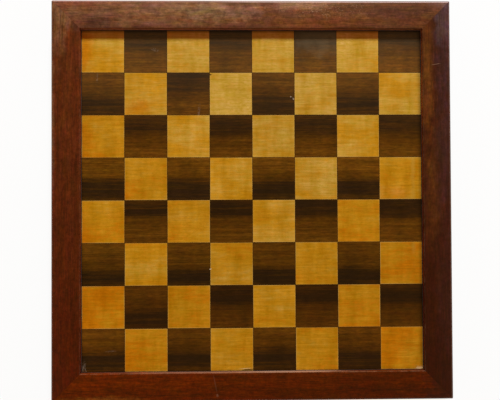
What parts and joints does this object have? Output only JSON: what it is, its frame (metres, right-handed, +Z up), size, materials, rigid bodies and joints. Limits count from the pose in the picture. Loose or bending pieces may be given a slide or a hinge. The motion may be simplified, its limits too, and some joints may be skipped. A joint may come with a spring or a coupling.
{
  "type": "chess board",
  "caption": "Flat wooden chess board: chequered veneer field on a planked panel, sunk inside a mitred, crowned frame",
  "frame": {"origin": "middle of the plane that the four baize pads rest on", "axes": "+X to the right along the near rail, +Y away from the player at the near side, +Z up out of the playing field"},
  "size_m": [0.4686, 0.4686, 0.0261],
  "materials": {
    "frame_wood": "red-brown stained hardwood under aged satin varnish",
    "light_veneer": "yellow-orange veneer, satin varnish, fine flecks",
    "dark_veneer": "dark brown figured veneer, satin varnish",
    "ground_pine": "bare planed pine, aged",
    "tongue_wood": "bare beech, glued in",
    "bead_wood": "thinly stained softwood",
    "pin_steel": "dulled steel wire",
    "baize": "green wool baize, slightly flattened"
  },
  "bodies": {
    "root": {"frame_rail_near": "frame_wood", "frame_rail_right": "frame_wood", "frame_rail_far": "frame_wood", "frame_rail_left": "frame_wood", "mitre_tongue_near_left": "tongue_wood", "mitre_tongue_near_right": "tongue_wood", "mitre_tongue_far_right": "tongue_wood", "mitre_tongue_far_left": "tongue_wood", "ground_plank_1": "ground_pine", "ground_plank_2": "ground_pine", "ground_plank_3": "ground_pine", "ground_plank_4": "ground_pine", "dark_squares_rank_1": "dark_veneer", "light_squares_rank_1": "light_veneer", "dark_squares_rank_2": "dark_veneer", "light_squares_rank_2": "light_veneer", "dark_squares_rank_3": "dark_veneer", "light_squares_rank_3": "light_veneer", "dark_squares_rank_4": "dark_veneer", "light_squares_rank_4": "light_veneer", "dark_squares_rank_5": "dark_veneer", "light_squares_rank_5": "light_veneer", "dark_squares_rank_6": "dark_veneer", "light_squares_rank_6": "light_veneer", "dark_squares_rank_7": "dark_veneer", "light_squares_rank_7": "light_veneer", "dark_squares_rank_8": "dark_veneer", "light_squares_rank_8": "light_veneer", "edge_banding_near": "dark_veneer", "edge_banding_right": "dark_veneer", "edge_banding_far": "dark_veneer", "edge_banding_left": "dark_veneer", "retaining_bead_near": "bead_wood", "retaining_bead_right": "bead_wood", "retaining_bead_far": "bead_wood", "retaining_bead_left": "bead_wood", "bead_pins": "pin_steel", "baize_pad_near_left": "baize", "baize_pad_near_right": "baize", "baize_pad_far_right": "baize", "baize_pad_far_left": "baize"}
  },
  "joints": []
}
